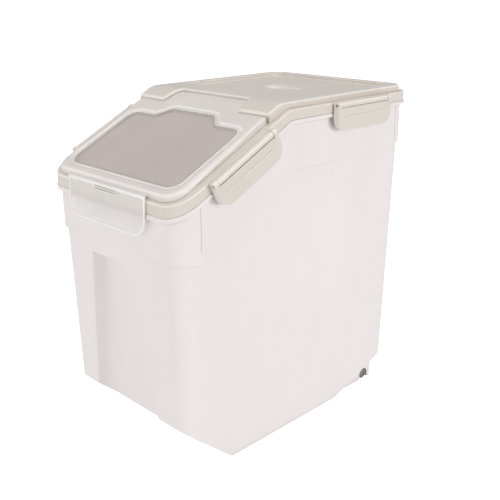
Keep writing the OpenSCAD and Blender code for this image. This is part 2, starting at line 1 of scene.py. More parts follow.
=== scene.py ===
# %% [markdown]
# # A rice bin with a flip lid
# The bin is a tall tapered tub with a sloped front. A grey lid frame is latched
# onto its rim, and a frosted flap over the sloped mouth swings up so that rice
# can be poured in or scooped out. Two small wheels sit under the rear corners.
# The CAD model gives every size and place; this script gives the finish. First
# the imported frame is loaded.

# %% Load the frame
import json
import math

import bmesh
import bpy
from mathutils import Matrix, Vector


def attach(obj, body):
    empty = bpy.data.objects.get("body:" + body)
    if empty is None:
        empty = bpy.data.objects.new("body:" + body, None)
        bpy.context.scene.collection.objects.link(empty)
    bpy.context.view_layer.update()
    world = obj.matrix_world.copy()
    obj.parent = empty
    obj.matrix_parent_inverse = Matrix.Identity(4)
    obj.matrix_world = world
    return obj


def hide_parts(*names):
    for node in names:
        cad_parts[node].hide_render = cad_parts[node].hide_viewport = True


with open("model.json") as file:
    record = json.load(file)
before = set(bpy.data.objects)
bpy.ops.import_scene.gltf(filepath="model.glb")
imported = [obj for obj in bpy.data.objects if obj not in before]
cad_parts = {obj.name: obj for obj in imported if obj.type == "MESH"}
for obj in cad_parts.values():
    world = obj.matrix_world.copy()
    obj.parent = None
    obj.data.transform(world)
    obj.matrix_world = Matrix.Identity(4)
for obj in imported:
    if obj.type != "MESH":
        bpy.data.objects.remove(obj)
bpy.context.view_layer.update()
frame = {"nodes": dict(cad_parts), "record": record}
MM = 0.001

# %% [markdown]
# ## The lid's side view
# Almost everything on the lid follows one line: a slope that bends into a flat.
# The record has no such line, so its driving sizes are repeated here, in
# millimetres. Heights are measured square to the skirt's lower edge, as a mould
# maker would, and one function gives the line at any height above that edge.

# %% Sizes that the lid and the tub share
SLOPE = math.radians(26.2)
SHIFT_Y = 1.9
FRONT_Y = -224.7
REAR_Y = 224.7
RIM_Z_FRONT = 353.8
RIM_Z_REAR = 446.5
BEND_R = 25
SKIRT_X = 135
SKIRT_R = 31
DECK_H = 13.1
LID_WALL = 2.2
SIDES = ((-1, "left"), (1, "right"))


def on_slope(s, h):
    """Place (y, z) at s up the slope and h square above the rim line."""
    return (
        FRONT_Y + s * math.cos(SLOPE) - h * math.sin(SLOPE),
        RIM_Z_FRONT + s * math.sin(SLOPE) + h * math.cos(SLOPE),
    )


def roof(y, slope_h, flat_h, bend):
    """Height at y of a line slope_h above the rim's slope and flat_h above its flat."""
    y0, z0 = on_slope(0, slope_h)
    flat_z = RIM_Z_REAR + flat_h
    knee = y0 + (flat_z - z0) / math.tan(SLOPE)
    reach = bend * math.tan(SLOPE / 2)
    if y <= knee - reach * math.cos(SLOPE):
        return z0 + (y - y0) * math.tan(SLOPE)
    if y >= knee + reach:
        return flat_z
    return flat_z - bend + math.sqrt(bend**2 - (y - knee - reach) ** 2)


print("rim height at the front and the back:", roof(FRONT_Y, 0, 0, BEND_R), RIM_Z_REAR)

# %% [markdown]
# ## Camera
# The camera comes first, because every later choice is judged through it. It
# stands at the bin's front right corner and looks a little down. Its place and
# turn are plain numbers: a position, a compass angle, a tilt and a slight roll.

# %% Camera
CAMERA_PLACE = Vector((765.65, -736.68, 604.87)) * MM
CAMERA_AZIMUTH = math.radians(45.135)
CAMERA_TILT = math.radians(19.217)
CAMERA_ROLL = math.radians(-0.162)
FOCAL_PIXELS = 760.6
FRAME_PIXELS = 500

camera_data = bpy.data.cameras.new("camera")
camera_data.sensor_width = 36
camera_data.lens = camera_data.sensor_width * FOCAL_PIXELS / FRAME_PIXELS
camera = bpy.data.objects.new("camera", camera_data)
camera.matrix_world = (
    Matrix.Translation(CAMERA_PLACE)
    @ Matrix.Rotation(CAMERA_AZIMUTH, 4, "Z")
    @ Matrix.Rotation(math.pi / 2 - CAMERA_TILT, 4, "X")
    @ Matrix.Rotation(CAMERA_ROLL, 4, "Z")
)
bpy.context.scene.collection.objects.link(camera)
bpy.context.scene.camera = camera
print("lens:", round(camera_data.lens, 2), "mm")

# %% [markdown]
# ## Studio
# Catalogue pictures of white plastic need a light that is bright but not flat:
# with the same light from everywhere, the tub's shallow steps would vanish. So a
# weak white dome fills the shadows, a small low lamp on the right models the
# side, and broad weak lamps in front, on the left and above open up the rest.
# The floor and the dome look whiter to the camera than they are to the bin,
# which keeps the background clean without washing out the undersides.

# %% World and floor
def camera_sees(tree, seen, lit):
    """A value that is one number for the camera and another for the light."""
    path = tree.nodes.new("ShaderNodeLightPath")
    mixed = tree.nodes.new("ShaderNodeMapRange")
    mixed.inputs["To Min"].default_value = lit
    mixed.inputs["To Max"].default_value = seen
    tree.links.new(path.outputs["Is Camera Ray"], mixed.inputs["Value"])
    return mixed.outputs["Result"]


DOME_SEEN = 1.0
DOME_LIGHT = 0.484
world = bpy.data.worlds.new("studio")
world.use_nodes = True
backdrop = world.node_tree.nodes["Background"]
backdrop.inputs["Color"].default_value = (1, 1, 1, 1)
world.node_tree.links.new(
    camera_sees(world.node_tree, DOME_SEEN, DOME_LIGHT), backdrop.inputs["Strength"]
)
bpy.context.scene.world = world
bpy.context.scene.view_settings.view_transform = "Standard"

FLOOR_SEEN = 0.95
FLOOR_LIGHT = 0.14
FLOOR_GREY = 0.88
FLOOR_REACH = 40
floor_bm = bmesh.new()
bmesh.ops.create_grid(floor_bm, x_segments=1, y_segments=1, size=FLOOR_REACH)
floor_mesh = bpy.data.meshes.new("floor")
floor_bm.to_mesh(floor_mesh)
floor_bm.free()
floor = bpy.data.objects.new("floor", floor_mesh)
bpy.context.scene.collection.objects.link(floor)

floor_finish = bpy.data.materials.new("studio_floor")
floor_finish.use_nodes = True
floor_shader = floor_finish.node_tree.nodes["Principled BSDF"]
floor_shader.inputs["Base Color"].default_value = (FLOOR_GREY, FLOOR_GREY, FLOOR_GREY, 1)
floor_shader.inputs["Roughness"].default_value = 0.9
floor_shader.inputs["Emission Color"].default_value = (1, 1, 1, 1)
floor_finish.node_tree.links.new(
    camera_sees(floor_finish.node_tree, FLOOR_SEEN, FLOOR_LIGHT),
    floor_shader.inputs["Emission Strength"],
)
floor.data.materials.append(floor_finish)


# %% Lamps
def softbox(name, place, target, size, power, colour):
    """A square area lamp that looks at a target."""
    data = bpy.data.lights.new(name, "AREA")
    data.size = size
    data.energy = power
    data.color = colour
    lamp = bpy.data.objects.new(name, data)
    lamp.location = place
    lamp.rotation_mode = "QUATERNION"
    lamp.rotation_quaternion = (Vector(target) - Vector(place)).to_track_quat("-Z", "Y")
    bpy.context.scene.collection.objects.link(lamp)
    return lamp


BIN_MIDDLE = (0, 0, 0.25)
softbox("key", (2.6, 0.55, 0.8), BIN_MIDDLE, 0.35, 17, (1, 0.985, 0.98))
softbox("front", (0.2, -2.4, 1.0), BIN_MIDDLE, 1.2, 11.5, (1, 0.985, 0.965))
softbox("left", (-2.0, -1.5, 1.4), BIN_MIDDLE, 1.2, 4, (1, 0.985, 0.97))
softbox("top", (0.2, 0, 2.7), BIN_MIDDLE, 1.2, 14, (1, 0.985, 0.97))

# %% [markdown]
# ## Shader groups
# Five effects are used by more than one finish, so each is a node group with
# named inputs. *Soft edges* rounds the shading of small edges and also gives a
# mask of them, for wear. *Moulded grain* is the very fine unevenness of a
# polished mould. *Handling* is a broad, faint cloud that varies colour and
# gloss where hands and cloths have been. *Painted bend highlight* finds the
# rounded bends between flats and upright walls, where a painted highlight
# lightens the colour, and *painted gap shade* finds narrow gaps and inner
# corners, where painted shade darkens it.

# %% Shader group helpers
def new_group(name, inputs, outputs):
    """An empty shader node group with the named sockets."""
    group = bpy.data.node_groups.new(name, "ShaderNodeTree")
    for label, kind, value in inputs:
        socket = group.interface.new_socket(label, in_out="INPUT", socket_type=kind)
        socket.default_value = value
    for label, kind in outputs:
        group.interface.new_socket(label, in_out="OUTPUT", socket_type=kind)
    return group, group.nodes.new("NodeGroupInput"), group.nodes.new("NodeGroupOutput")


def add_node(tree, kind, values=None, **settings):
    """A node with its settings and its unlinked input values."""
    node = tree.nodes.new(kind)
    for label, value in settings.items():
        setattr(node, label, value)
    for label, value in (values or {}).items():
        node.inputs[label].default_value = value
    return node


FLOAT = "NodeSocketFloat"
VECTOR = "NodeSocketVector"


# %% Soft edges
def make_soft_edges():
    group, given, result = new_group(
        "soft_edges", [("Radius", FLOAT, 0.0006)], [("Normal", VECTOR), ("Edge", FLOAT)]
    )
    link = group.links.new
    bevel = add_node(group, "ShaderNodeBevel", samples=4)
    geometry = add_node(group, "ShaderNodeNewGeometry")
    agree = add_node(group, "ShaderNodeVectorMath", operation="DOT_PRODUCT")
    mask = add_node(group, "ShaderNodeMapRange", {"From Min": 1.0, "From Max": 0.86})
    link(given.outputs["Radius"], bevel.inputs["Radius"])
    link(bevel.outputs["Normal"], agree.inputs[0])
    link(geometry.outputs["Normal"], agree.inputs[1])
    link(agree.outputs["Value"], mask.inputs["Value"])
    link(bevel.outputs["Normal"], result.inputs["Normal"])
    link(mask.outputs["Result"], result.inputs["Edge"])
    return group


# %% Moulded grain
def make_grain():
    group, given, result = new_group(
        "moulded_grain",
        [("Fine", FLOAT, 900.0), ("Coarse", FLOAT, 60.0), ("Coarse Share", FLOAT, 0.5)],
        [("Height", FLOAT)],
    )
    link = group.links.new
    place = add_node(group, "ShaderNodeTexCoord")
    fine = add_node(group, "ShaderNodeTexNoise", {"Detail": 3.0, "Roughness": 0.6})
    coarse = add_node(group, "ShaderNodeTexNoise", {"Detail": 2.0, "Roughness": 0.5})
    both = add_node(group, "ShaderNodeMix", data_type="FLOAT")
    for noise, label in ((fine, "Fine"), (coarse, "Coarse")):
        link(place.outputs["Object"], noise.inputs["Vector"])
        link(given.outputs[label], noise.inputs["Scale"])
    link(given.outputs["Coarse Share"], both.inputs["Factor"])
    link(fine.outputs["Fac"], both.inputs["A"])
    link(coarse.outputs["Fac"], both.inputs["B"])
    link(both.outputs["Result"], result.inputs["Height"])
    return group


# %% Handling
def make_handling():
    group, given, result = new_group(
        "handling", [("Scale", FLOAT, 9.0)], [("Cloud", FLOAT), ("Smear", FLOAT)]
    )
    link = group.links.new
    place = add_node(group, "ShaderNodeTexCoord")
    stretch = add_node(group, "ShaderNodeMapping", {"Scale": (1.0, 1.0, 0.35)})
    cloud = add_node(group, "ShaderNodeTexNoise", {"Detail": 4.0, "Roughness": 0.55})
    smear = add_node(
        group, "ShaderNodeTexNoise", {"Scale": 30.0, "Detail": 5.0, "Distortion": 1.2}
    )
    spread = add_node(group, "ShaderNodeMapRange", {"From Min": 0.35, "From Max": 0.65})
    thin = add_node(group, "ShaderNodeMapRange", {"From Min": 0.45, "From Max": 0.7})
    link(place.outputs["Object"], stretch.inputs["Vector"])
    link(stretch.outputs["Vector"], cloud.inputs["Vector"])
    link(place.outputs["Object"], smear.inputs["Vector"])
    link(given.outputs["Scale"], cloud.inputs["Scale"])
    link(cloud.outputs["Fac"], spread.inputs["Value"])
    link(smear.outputs["Fac"], thin.inputs["Value"])
    link(spread.outputs["Result"], result.inputs["Cloud"])
    link(thin.outputs["Result"], result.inputs["Smear"])
    return group


# %% Painted highlight on rounded shoulders
def make_shoulders():
    """A mask of the rounded shoulders between flats and upright walls, for a painted highlight.
    """
    group, given, result = new_group("shoulders", [("Amount", FLOAT, 1.0)], [("Mask", FLOAT)])
    link = group.links.new
    place = add_node(group, "ShaderNodeTexCoord")
    parts = add_node(group, "ShaderNodeSeparateXYZ")
    apart = add_node(group, "ShaderNodeMath", operation="SUBTRACT")
    apart.inputs[1].default_value = 0.5
    width = add_node(group, "ShaderNodeMath", operation="ABSOLUTE")
    mask = add_node(group, "ShaderNodeMapRange", {"From Min": 0.36, "From Max": 0.14})
    link(place.outputs["Normal"], parts.inputs["Vector"])
    link(parts.outputs["Z"], apart.inputs[0])
    link(apart.outputs["Value"], width.inputs[0])
    link(width.outputs["Value"], mask.inputs["Value"])
    link(given.outputs["Amount"], mask.inputs["To Max"])
    link(mask.outputs["Result"], result.inputs["Mask"])
    return group


# %% Painted shade in crevices
def make_painted_gap_shade():
    """A mask of narrow gaps and inner corners, for painted shade."""
    group, given, result = new_group("painted_gap_shade", [("Reach", FLOAT, 0.006)], [("Mask", FLOAT)])
    link = group.links.new
    near = add_node(group, "ShaderNodeAmbientOcclusion", samples=4)
    mask = add_node(group, "ShaderNodeMapRange", {"From Min": 0.78, "From Max": 0.25})
    link(given.outputs["Reach"], near.inputs["Distance"])
    link(near.outputs["AO"], mask.inputs["Value"])
    link(mask.outputs["Result"], result.inputs["Mask"])
    return group


soft_edges = make_soft_edges()
painted_gap_shade = make_painted_gap_shade()
shoulders = make_shoulders()
moulded_grain = make_grain()
handling = make_handling()
print("shader groups:", [g.name for g in bpy.data.node_groups])

# %% [markdown]
# ## Finishes
# Every plastic here is a Principled shader whose colour, roughness and bump come
# from the groups above, each with its own strengths. Base colours are written as
# the sRGB numbers that a picture editor shows and turned into linear light.

# %% Plastic
def srgb(r, g, b):
    """Linear colour from an 8-bit sRGB one."""
    return tuple(((c / 255 + 0.055) / 1.055) ** 2.4 for c in (r, g, b))


def place_group(tree, group, **values):
    """Puts a shader group into a finish and sets its named inputs."""
    node = tree.nodes.new("ShaderNodeGroup")
    node.node_tree = group
    for label, value in values.items():
        node.inputs[label.replace("_", " ")].default_value = value
    return node


def colour_mix(tree, factor, colour_a, colour_b):
    """Mixes two colours by a factor socket; colour_a may be a socket."""
    mix = add_node(tree, "ShaderNodeMix", data_type="RGBA")
    tree.links.new(factor, mix.inputs["Factor"])
    if isinstance(colour_a, bpy.types.NodeSocket):
        tree.links.new(colour_a, mix.inputs["A"])
    else:
        mix.inputs["A"].default_value = (*colour_a, 1)
    mix.inputs["B"].default_value = (*colour_b, 1)
    return mix.outputs["Result"]


def moulded(
    name, colour, shade, wear_and_highlight, roughness, gloss_range, bump=0.12, edge_mm=0.6, lets_light=0,
    shoulder=0, gap_shade_colour=None, reach_mm=6, **shader_values,
):
    """A moulded plastic: colour drifts at random towards a second tone, small edges show wear,
    rounded bends get a painted highlight and gaps painted shade.
    """
    finish_made = bpy.data.materials.new(name)
    finish_made.use_nodes = True
    tree = finish_made.node_tree
    shader = tree.nodes["Principled BSDF"]
    edges = place_group(tree, soft_edges, Radius=edge_mm * MM)
    grain = place_group(tree, moulded_grain)
    touch = place_group(tree, handling)
    drifted = colour_mix(tree, touch.outputs["Cloud"], colour, shade)
    edged = colour_mix(tree, edges.outputs["Edge"], drifted, wear_and_highlight)
    # Painted highlight: rounded bends are mixed towards the light colour.
    if shoulder:
        rounded = place_group(tree, shoulders, Amount=shoulder)
        edged = colour_mix(tree, rounded.outputs["Mask"], edged, wear_and_highlight)
    # Painted shade: narrow gaps and inner corners are mixed towards a darker colour.
    if gap_shade_colour:
        gaps = place_group(tree, painted_gap_shade, Reach=reach_mm * MM)
        edged = colour_mix(tree, gaps.outputs["Mask"], edged, gap_shade_colour)
    gloss = add_node(
        tree, "ShaderNodeMapRange", {"To Min": roughness, "To Max": roughness + gloss_range}
    )
    height = add_node(tree, "ShaderNodeBump", {"Strength": bump, "Distance": 0.1 * MM})
    link = tree.links.new
    link(edged, shader.inputs["Base Color"])
    link(touch.outputs["Smear"], gloss.inputs["Value"])
    link(gloss.outputs["Result"], shader.inputs["Roughness"])
    link(grain.outputs["Height"], height.inputs["Height"])
    link(edges.outputs["Normal"], height.inputs["Normal"])
    link(height.outputs["Normal"], shader.inputs["Normal"])
    for label, value in shader_values.items():
        shader.inputs[label.replace("_", " ")].default_value = value
    if lets_light:
        ray = add_node(tree, "ShaderNodeLightPath")
        alpha = add_node(tree, "ShaderNodeMapRange", {"To Min": 1.0, "To Max": 1 - lets_light})
        link(ray.outputs["Is Shadow Ray"], alpha.inputs["Value"])
        link(alpha.outputs["Result"], shader.inputs["Alpha"])
    return finish_made


finish = {
    "milky_tub": moulded(
        "milky_tub", srgb(243, 238, 237), srgb(240, 235, 235), srgb(250, 247, 246), 0.34, 0.08,
        # The brown colour is painted shade in the tub's gaps and under its steps.
        gap_shade_colour=srgb(150, 122, 108),
    ),
    "lid_grey": moulded(
        "lid_grey", srgb(227, 220, 212), srgb(223, 216, 208), srgb(247, 242, 235), 0.28, 0.08,
        # Painted highlight on the lid's rounded bends, painted shade in its gaps.
        shoulder=0.9, gap_shade_colour=srgb(214, 201, 189), reach_mm=2.5,
    ),
    "clear_flap": moulded(
        "clear_flap", srgb(240, 235, 231), srgb(236, 231, 227), srgb(255, 252, 250), 0.32, 0.06,
        # Painted highlight on the flap's rounded edge.
        edge_mm=0.4, lets_light=0.85, shoulder=0.9, Transmission_Weight=0.15, IOR=1.4,
    ),
    # A darker copy of the clear plastic: painted shade of the bin's dark inside, over the light
    # that the sheet really lets through.
    "clear_window_painted_shade": moulded(
        "clear_window_painted_shade", srgb(231, 222, 219), srgb(226, 217, 214), srgb(242, 236, 233), 0.32, 0.06,
        edge_mm=0.4, lets_light=0.85, Transmission_Weight=0.4, IOR=1.4,
    ),
    # A whiter copy of the clear plastic without transmission: a painted highlight on the tab's
    # rim and slot frame.
    "clear_edge_painted_highlight": moulded(
        "clear_edge_painted_highlight", srgb(254, 253, 251), srgb(252, 251, 249), srgb(255, 255, 254), 0.3, 0.06,
        edge_mm=0.3, lets_light=0.9,
    ),
    "clear_tab": moulded(
        "clear_tab", srgb(254, 252, 250), srgb(251, 249, 247), srgb(255, 255, 253), 0.12, 0.06,
        edge_mm=0.3, lets_light=0.9, Transmission_Weight=0.46, IOR=1.4,
    ),
    "seal": moulded(
        "seal", srgb(224, 223, 220), srgb(218, 217, 214), srgb(232, 231, 228), 0.55, 0.1
    ),
    "pin_steel": moulded(
        "pin_steel", srgb(150, 150, 150), srgb(140, 140, 140), srgb(170, 170, 170), 0.3, 0.15,
        bump=0.05, edge_mm=0.2, Metallic=1.0,
    ),
    "wheel_grey": moulded(
        "wheel_grey", srgb(150, 149, 147), srgb(142, 141, 139), srgb(168, 167, 165), 0.5, 0.12
    ),
}
print("finishes:", ", ".join(finish))

# %% [markdown]
# ## Drawing tools
# Moulded shells are drawn the way a mould is cut: a rounded outline is moved in
# or out step by step while its height changes, and each step is joined to the
# last by a band of faces. One profile thus gives a wall, its fillet and the start
# of the next flat. Flats with holes are filled between their loops. The lid is
# drawn flat first; it is then cut into slices where the bend will be and draped
# over the roof line, which keeps every height true on the slope and on the flat.

# %% Outlines
ARC_STEPS = 8
LID = Matrix.Translation((0, FRONT_Y, RIM_Z_FRONT)) @ Matrix.Rotation(SLOPE, 4, "X")


def both_sides(half):
    """A whole outline from its right half, front to back; corners are (x, y, radius)."""
    return half + [(-x, y, r) for x, y, r in reversed(half)]


def box_outline(x, front, rear, radius):
    """A rounded box, from its half width, its front, its rear and its corner radius."""
    return both_sides([(x, front, radius), (x, rear, radius)])


def moved_out(corners, grow):
    """The corners of an outline after every side has moved outwards by grow."""
    result = []
    for i, (x, y, radius) in enumerate(corners):
        here = Vector((x, y))
        into = (here - Vector(corners[i - 1][:2])).normalized()
        out = (Vector(corners[(i + 1) % len(corners)][:2]) - here).normalized()
        sides = Vector((into.y, -into.x)) + Vector((out.y, -out.x))
        bulges = into.x * out.y > into.y * out.x
        radius = max(radius + (grow if bulges else -grow), 0) if radius else 0
        result.append((here + sides * 2 * grow / sides.length_squared, radius, into.angle(out)))
    return result


def draw(bm, corners, grow=0.0, height=0.0, place=None):
    """Draws an outline and rounds its corners; returns its edges."""
    tips = moved_out(corners, grow)
    verts = [bm.verts.new((tip.x, tip.y, height)) for tip, _, _ in tips]
    known = set(bm.faces)
    bm.faces.new(verts)
    for vert, (_, radius, turn) in zip(verts, tips):
        if radius:
            bmesh.ops.bevel(
                bm, geom=[vert], offset=radius * math.tan(turn / 2), offset_type="OFFSET",
                segments=max(2, round(ARC_STEPS * turn / (math.pi / 2))), profile=0.5,
                affect="VERTICES", material=-1,
            )
    face = next(f for f in bm.faces if f not in known)
    edges = list(face.edges)
    if place:
        for v in face.verts:
            v.co = place(*v.co)
    bmesh.ops.delete(bm, geom=[face], context="FACES_ONLY")
    return edges


# %% Bands, flats and fillets
def bands(bm, corners, profile, place=None, closed=False):
    """Joins the outline at each (grow, height) of a profile; returns the loops."""
    loops = [draw(bm, corners, grow, height, place) for grow, height in profile]
    pairs = list(zip(loops, loops[1:])) + ([(loops[-1], loops[0])] if closed else [])
    for low, high in pairs:
        bmesh.ops.bridge_loops(bm, edges=low + high)
    return loops


def flat(bm, *loops):
    """Fills the flat between loops; the first one may hold the others as holes."""
    edges = [edge for loop in loops for edge in loop]
    bmesh.ops.triangle_fill(bm, use_beauty=True, use_dissolve=False, edges=edges)


def edge_round(radius, steps=4):
    """(grow, height) steps from a wall over an outer edge; height 0 is the flat."""
    angles = [math.pi / 2 * i / steps for i in range(steps + 1)]
    return [(radius * (math.cos(a) - 1), radius * (math.sin(a) - 1)) for a in angles]


def root_round(radius, steps=3):
    """(grow, height) steps from a flat into a wall that rises from it."""
    angles = [math.pi / 2 * i / steps for i in range(steps + 1)]
    return [(radius * (1 - math.sin(a)), radius * (1 - math.cos(a))) for a in angles]


def moved(profile, grow, height):
    return [(g + grow, h + height) for g, h in profile]


def lower_edge(radius, steps=4):
    """(grow, height) steps from a flat underside over its edge into the wall above."""
    return [(g, -h) for g, h in reversed(edge_round(radius, steps))]


def down_a_hole(profile):
    """The steps of a profile from top to bottom, for the wall around a hole."""
    return [(-g, h) for g, h in reversed(profile)]


def slice_across(bm, y0, y1, steps):
    """Cuts the drawing into strips across the bin, so that it can bend there."""
    for i in range(steps + 1):
        everything = bm.verts[:] + bm.edges[:] + bm.faces[:]
        here = (0, y0 + (y1 - y0) * i / steps, 0)
        bmesh.ops.bisect_plane(bm, geom=everything, plane_co=here, plane_no=(0, 1, 0))


def drape(bm):
    """Lays a flat drawing on the rim line: its z becomes the height above the rim."""
    for v in bm.verts:
        v.co.z = roof(v.co.y, v.co.z, v.co.z, BEND_R + v.co.z)


# %% Pieces
slot_of = {s["node"]: s["material_slot"] for s in frame["record"]["subparts"]}
body_of = {n: b for b, ns in frame["record"]["behaviour"]["bodies"].items() for n in ns}


def add_piece(name, bm, node, wall=None, bevel=None, crease=30, look=None):
    """Turns a drawing in millimetres into a piece that stands for a CAD node."""
    bmesh.ops.remove_doubles(bm, verts=bm.verts, dist=0.001)
    bmesh.ops.recalc_face_normals(bm, faces=bm.faces)
    widest = max(bm.faces, key=lambda f: f.calc_center_median().x)
    if widest.normal.x < 0:
        bmesh.ops.reverse_faces(bm, faces=bm.faces)
    bmesh.ops.translate(bm, verts=bm.verts, vec=(0, SHIFT_Y, 0))
    bmesh.ops.scale(bm, verts=bm.verts, vec=(MM, MM, MM))
    mesh = bpy.data.meshes.new(name)
    bm.to_mesh(mesh)
    bm.free()
    mesh.shade_smooth()
    mesh.set_sharp_from_angle(angle=math.radians(crease))
    piece = bpy.data.objects.new(name, mesh)
    bpy.context.scene.collection.objects.link(piece)
    if bevel:
        soft = piece.modifiers.new("soft edges", "BEVEL")
        soft.width = bevel * MM
        soft.segments = 3
        soft.limit_method = "ANGLE"
        soft.angle_limit = math.radians(crease)
        soft.harden_normals = True
    if wall:
        shell = piece.modifiers.new("wall", "SOLIDIFY")
        shell.thickness = wall * MM
        shell.offset = -1
    normals = piece.modifiers.new("flat faces stay flat", "WEIGHTED_NORMAL")
    normals.keep_sharp = True
    mesh.materials.append(finish[look or slot_of[node]])
    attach(piece, body_of[node])
    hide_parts(node)
    print(f"{name}: {len(mesh.polygons)} faces, rides {body_of[node]}")
    return piece


def bar(bm, start, end, radius, sides=32):
    """Adds a round bar between two points."""
    start, end = Vector(start), Vector(end)
    turn = (end - start).to_track_quat("Z", "Y").to_matrix().to_4x4()
    bmesh.ops.create_cone(
        bm, cap_ends=True, segments=sides, radius1=radius, radius2=radius,
        depth=(end - start).length, matrix=Matrix.Translation((start + end) / 2) @ turn,
    )


def block(bm, low, high):
    """Adds a box between two corners."""
    low, high = Vector(low), Vector(high)
    size = Matrix.Diagonal((*(high - low), 1))
    bmesh.ops.create_cube(bm, size=1, matrix=Matrix.Translation((low + high) / 2) @ size)


def prism(bm, x0, x1, side_view):
    """Adds a solid with a side view of (y, z) corners, from x0 to x1."""
    face = bm.faces.new([bm.verts.new((x0, y, z)) for y, z in side_view])
    made = bmesh.ops.extrude_face_region(bm, geom=[face])["geom"]
    far = [g for g in made if isinstance(g, bmesh.types.BMVert)]
    bmesh.ops.translate(bm, verts=far, vec=(x1 - x0, 0, 0))


# %% [markdown]
# ## Tub
# The tub is injection moulded in one go, a milky plastic with shallow steps that
# stiffen it. The body is a tapered shell with cut-away feet and a hand recess in
# front; collars wrap its corners, side panels stand slightly proud between them,
# and a flange and a rim carry the lid. Each is a piece of its own, so that each
# step keeps its own soft edge.

# %% Tub body
TUB_WALL = 2.5
TUB_R = 27
TUB_TOP = 470
TUB_X = (122.6, 130.6)
TUB_FRONT = (-212.5, -220.6)
TUB_REAR = (212.3, 219)
FOOT_FRONT = ((-132.3, 0), (-216, 72))
FOOT_REAR = ((81.6, 0), (213.3, 45))
RECESS_FLOOR = -189
RECESS_Z = (30, 273.6)
RECESS_X = (71.7, 52.7)
RECESS_MOUTH = 20
RECESS_FLARE = 3
RECESS_TAPER = 9
RECESS_CUT_FROM = -240
TUB_FOOT_R = 3
FLAT_WITHIN = math.radians(0.5)
FLANGE_LOW = -5.4
FLANGE_HIGH = -0.3
WALLS_END = FLANGE_LOW + 0.4


def taper(x, y, z):
    """Moves a point of the tub's footprint outwards with its height."""
    rise = z / TUB_TOP
    out = TUB_X[1] - TUB_X[0]
    end = TUB_REAR[1] - TUB_REAR[0] if y > 0 else TUB_FRONT[1] - TUB_FRONT[0]
    return (x + math.copysign(out * rise, x), y + end * rise, z)


def cut_plane(bm, place, normal, fill):
    """Cuts away what lies on the normal's side of a plane and can close the cut."""
    cut = bmesh.ops.bisect_plane(
        bm, geom=bm.verts[:] + bm.edges[:] + bm.faces[:],
        plane_co=place, plane_no=normal, clear_outer=True,
    )
    edges = [g for g in cut["geom_cut"] if isinstance(g, bmesh.types.BMEdge)]
    if fill and edges:
        bmesh.ops.edgeloop_fill(bm, edges=edges)


def cut_below_rim(bm, height, fill=False):
    """Ends an upright wall at a height square to the rim line."""
    y, z = on_slope(0, height)
    cut_plane(bm, (0, y, z), (0, -math.sin(SLOPE), math.cos(SLOPE)), fill)
    cut_plane(bm, (0, 0, RIM_Z_REAR + height), (0, 0, 1), fill)


def cut_feet(bm):
    """Slopes off the tub's lower front and lower rear corners."""
    for (y0, z0), (y1, z1) in (FOOT_FRONT, FOOT_REAR):
        along = Vector((0, y1 - y0, z1 - z0)).normalized()
        cut_plane(bm, (0, y0, z0), (0, math.copysign(along.z, y0), -abs(along.y)), True)


def subtract(bm, tool):
    """Cuts one closed drawing out of another."""
    pair = []
    for name, drawing in (("stock", bm), ("tool", tool)):
        mesh = bpy.data.meshes.new(name)
        drawing.to_mesh(mesh)
        drawing.free()
        pair.append(bpy.data.objects.new(name, mesh))
        bpy.context.scene.collection.objects.link(pair[-1])
    cut = pair[0].modifiers.new("cut", "BOOLEAN")
    cut.operation = "DIFFERENCE"
    cut.solver = "EXACT"
    cut.object = pair[1]
    cooked = pair[0].evaluated_get(bpy.context.evaluated_depsgraph_get())
    result = bmesh.new()
    result.from_mesh(cooked.to_mesh())
    cooked.to_mesh_clear()
    for thing in pair:
        mesh = thing.data
        bpy.data.objects.remove(thing)
        bpy.data.meshes.remove(mesh)
    return result


def make_tub_body():
    bm = bmesh.new()
    footprint = box_outline(TUB_X[0], TUB_FRONT[0], TUB_REAR[0], TUB_R)
    loops = bands(bm, footprint, lower_edge(TUB_FOOT_R) + [(0, TUB_TOP)], place=taper)
    flat(bm, loops[0])
    flat(bm, loops[-1])
    bmesh.ops.dissolve_limit(
        bm, angle_limit=FLAT_WITHIN, verts=bm.verts, edges=bm.edges, delimit={"NORMAL"}
    )
    cut_feet(bm)
    tool = bmesh.new()
    mouth = both_sides([
        (RECESS_X[0] + RECESS_FLARE, RECESS_CUT_FROM, 0),
        (RECESS_X[0], TUB_FRONT[1] + RECESS_FLARE, 0),
        (RECESS_X[0] - RECESS_TAPER, RECESS_FLOOR, RECESS_MOUTH),
    ])
    foot, top = RECESS_Z
    narrower = (RECESS_X[0] - RECESS_X[1]) / (top - foot)
    ends = bands(
        tool, mouth, [(0, foot), (0, top)],
        place=lambda x, y, z: (x - math.copysign(narrower * (z - foot), x), y, z),
    )
    flat(tool, ends[0])
    flat(tool, ends[1])
    bmesh.ops.recalc_face_normals(bm, faces=bm.faces)
    bmesh.ops.recalc_face_normals(tool, faces=tool.faces)
    bm = subtract(bm, tool)
    cut_below_rim(bm, WALLS_END)
    return add_piece("tub_body", bm, "tub", wall=TUB_WALL, bevel=1.6, crease=24)


make_tub_body()

# %% [markdown]
# The collars are bands around the tub's front and rear corners. Their lower edge
# is rounded, and that round edge with the soft shadow under it is what the eye
# reads as the step.

# %% Tub collars and side panels
COLLAR = (131.4, 220.7, 29)
COLLAR_INSIDE = 3.4
COLLARS = ((-1, 294.3, 187.5), (1, 384.3, 191))
COLLAR_EDGE_R = 1.6
PANEL_X = 130.8
PANEL_INSIDE = 127.3
PANEL_DROP = 65.5
PANEL_UNDER = 1
PANEL_STRIPS = 14
RIB = (-186.4, -182.6, 0.6)
RIB_DROP = PANEL_DROP - 2


